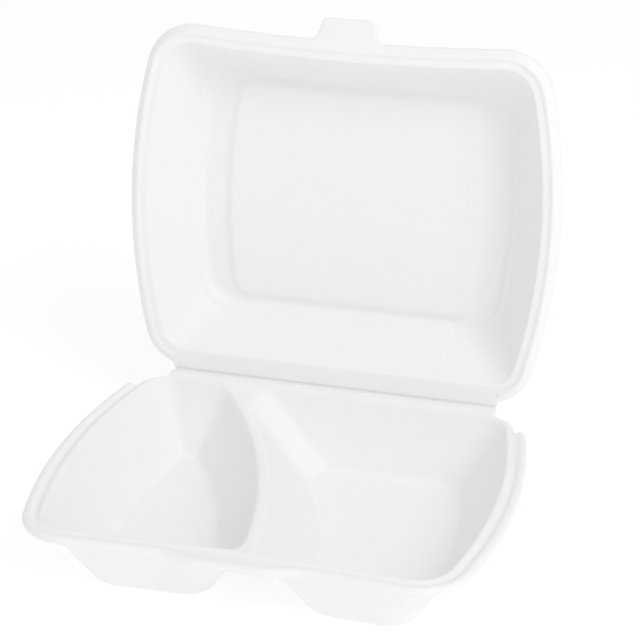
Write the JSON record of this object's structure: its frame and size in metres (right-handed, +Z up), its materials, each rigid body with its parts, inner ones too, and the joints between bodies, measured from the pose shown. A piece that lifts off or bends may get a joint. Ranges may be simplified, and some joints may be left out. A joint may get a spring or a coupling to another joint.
{
  "type": "hinged foam food container",
  "caption": "Shallow hinged foam takeaway box, standing open, with a deep lid and a base split into two food compartments by a curved folded divider.",
  "frame": {"origin": "middle of the open box's overall footprint, at the level of the surface it stands on", "axes": "+Z up, +X along the hinge crease towards the wide compartment, -Y towards the front edge and the viewer"},
  "size_m": [0.24, 0.2508, 0.243],
  "materials": {
    "foam": "fine matte foam"
  },
  "bodies": {
    "base": {"base": "foam"},
    "lid": {"lid": "foam"}
  },
  "joints": [
    {"name": "lid_hinge", "type": "hinge", "parent": "base", "child": "lid", "pos_m": [0, 0.07203, 0.0413], "axis": [1, 0, 0], "range_deg": [-84, 96]}
  ]
}
